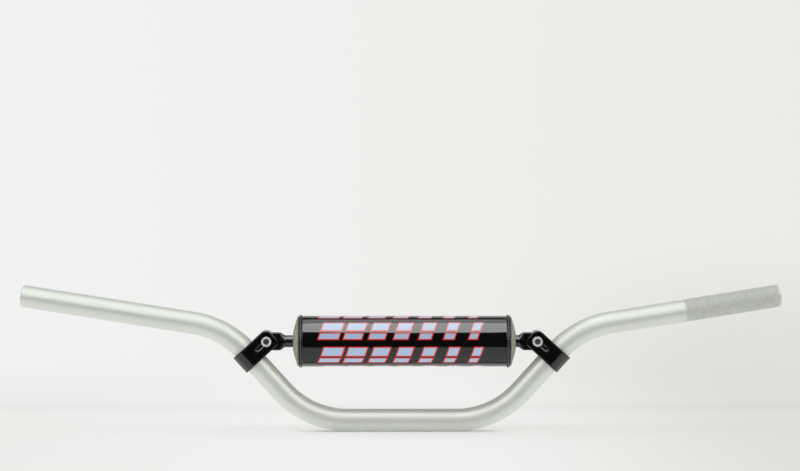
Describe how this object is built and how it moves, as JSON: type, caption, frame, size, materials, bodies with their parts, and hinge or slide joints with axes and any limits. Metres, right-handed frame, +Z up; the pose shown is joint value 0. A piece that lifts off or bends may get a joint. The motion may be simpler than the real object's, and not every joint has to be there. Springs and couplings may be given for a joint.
{
  "type": "motorcycle handlebar",
  "caption": "Off-road motorcycle handlebar: bent aluminium tube braced by a clamped crossbar, with a wrapped foam pad whose sewn cover closes with a hook-and-loop flap.",
  "frame": {"origin": "on the tube's axis, at the middle of the straight length that the stem's clamps hold", "axes": "+X to the clutch side's grip, +Y back to the rider, +Z up; the grips rise outwards and sweep back"},
  "size_m": [0.7594, 0.0783, 0.1431],
  "materials": {
    "satin_anodised_aluminium": "satin grey anodised, brushed along the tube, knurled at the clutch side's end",
    "black_anodised_aluminium": "matt black anodised, machined",
    "black_crossbar_aluminium": "satin black anodised, forged",
    "stainless_steel": "bright, lightly brushed",
    "zinc_plated_steel": "bright zinc",
    "white_nylon": "matt",
    "beige_foam": "fine open-cell foam",
    "printed_black_vinyl": "glossy coated fabric with pale blue blocks outlined in red",
    "black_hook_tape": "woven tape with moulded hooks",
    "black_loop_tape": "woven tape with brushed loops",
    "black_thread": "twisted polyester"
  },
  "bodies": {
    "bar": {"handlebar_tube": "satin_anodised_aluminium", "crossbar": "black_crossbar_aluminium", "clutch_side_clamp": "black_anodised_aluminium", "clutch_side_bolt": "stainless_steel", "clutch_side_nut": "zinc_plated_steel", "clutch_side_nut_insert": "white_nylon", "throttle_side_clamp": "black_anodised_aluminium", "throttle_side_bolt": "stainless_steel", "throttle_side_nut": "zinc_plated_steel", "throttle_side_nut_insert": "white_nylon"},
    "pad": {"pad_foam": "beige_foam"},
    "cover": {"pad_cover": "printed_black_vinyl", "loop_strip": "black_loop_tape", "loop_strip_stitching": "black_thread", "clutch_side_hem_stitching": "black_thread", "throttle_side_hem_stitching": "black_thread"},
    "flap": {"cover_flap": "printed_black_vinyl", "hook_strip": "black_hook_tape", "hook_strip_stitching": "black_thread"}
  },
  "joints": [
    {"name": "pad_slide", "type": "slide", "parent": "bar", "child": "pad", "axis": [1, 0, 0], "range_m": [-0.006, 0.002]},
    {"name": "pad_turn", "type": "hinge", "parent": "pad", "child": "cover", "pos_m": [0, 0, 0.07777], "axis": [1, 0, 0], "continuous": true},
    {"name": "flap_open", "type": "hinge", "parent": "cover", "child": "flap", "pos_m": [0, 0.01525, 0.05677], "axis": [-1, 0, 0], "range_deg": [0, 80]}
  ]
}
